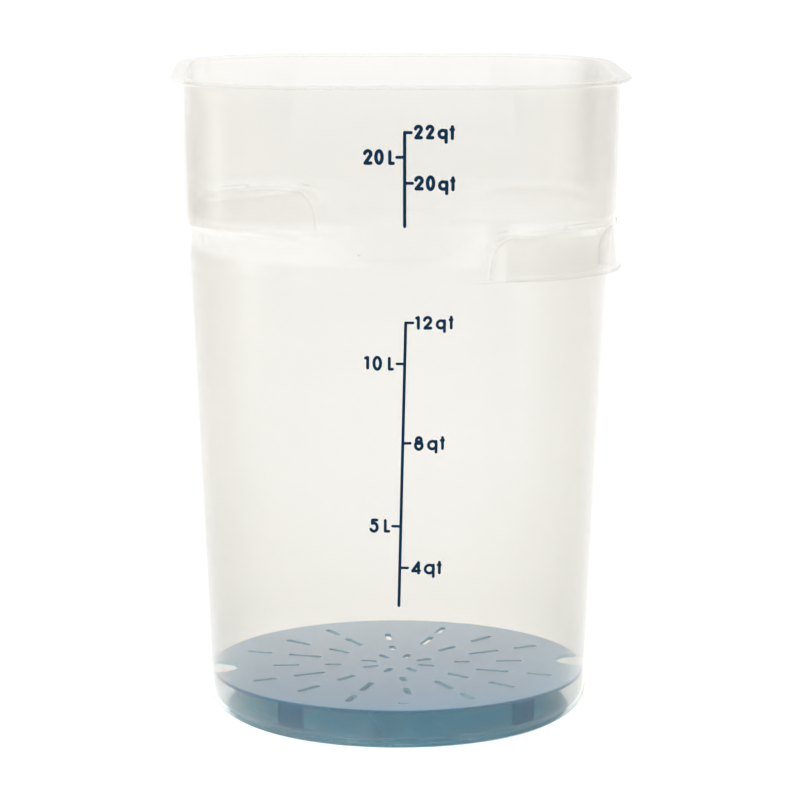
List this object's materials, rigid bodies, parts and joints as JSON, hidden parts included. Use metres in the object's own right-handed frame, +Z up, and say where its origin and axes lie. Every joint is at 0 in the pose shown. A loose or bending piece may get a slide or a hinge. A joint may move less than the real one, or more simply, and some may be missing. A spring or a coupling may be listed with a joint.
{
  "type": "dough proofing container",
  "caption": "Tall translucent food container with a round tapered body, rounded-square mouth, corner grips and a lift-out slotted drain shelf.",
  "frame": {"origin": "centre of the base, at the height of the standing ring", "axes": "+Z up through the mouth, -Y towards the front with the printed scale, +X to the right of it"},
  "size_m": [0.2878, 0.2878, 0.418],
  "materials": {
    "milky_plastic": "satin translucent polypropylene",
    "blue_plastic": "satin"
  },
  "bodies": {
    "container": {"container_body": "milky_plastic"},
    "shelf": {"drain_shelf": "blue_plastic"}
  },
  "joints": [
    {"name": "shelf_lift", "type": "slide", "parent": "container", "child": "shelf", "axis": [0, 0, 1], "range_m": [0, 0.43]}
  ]
}
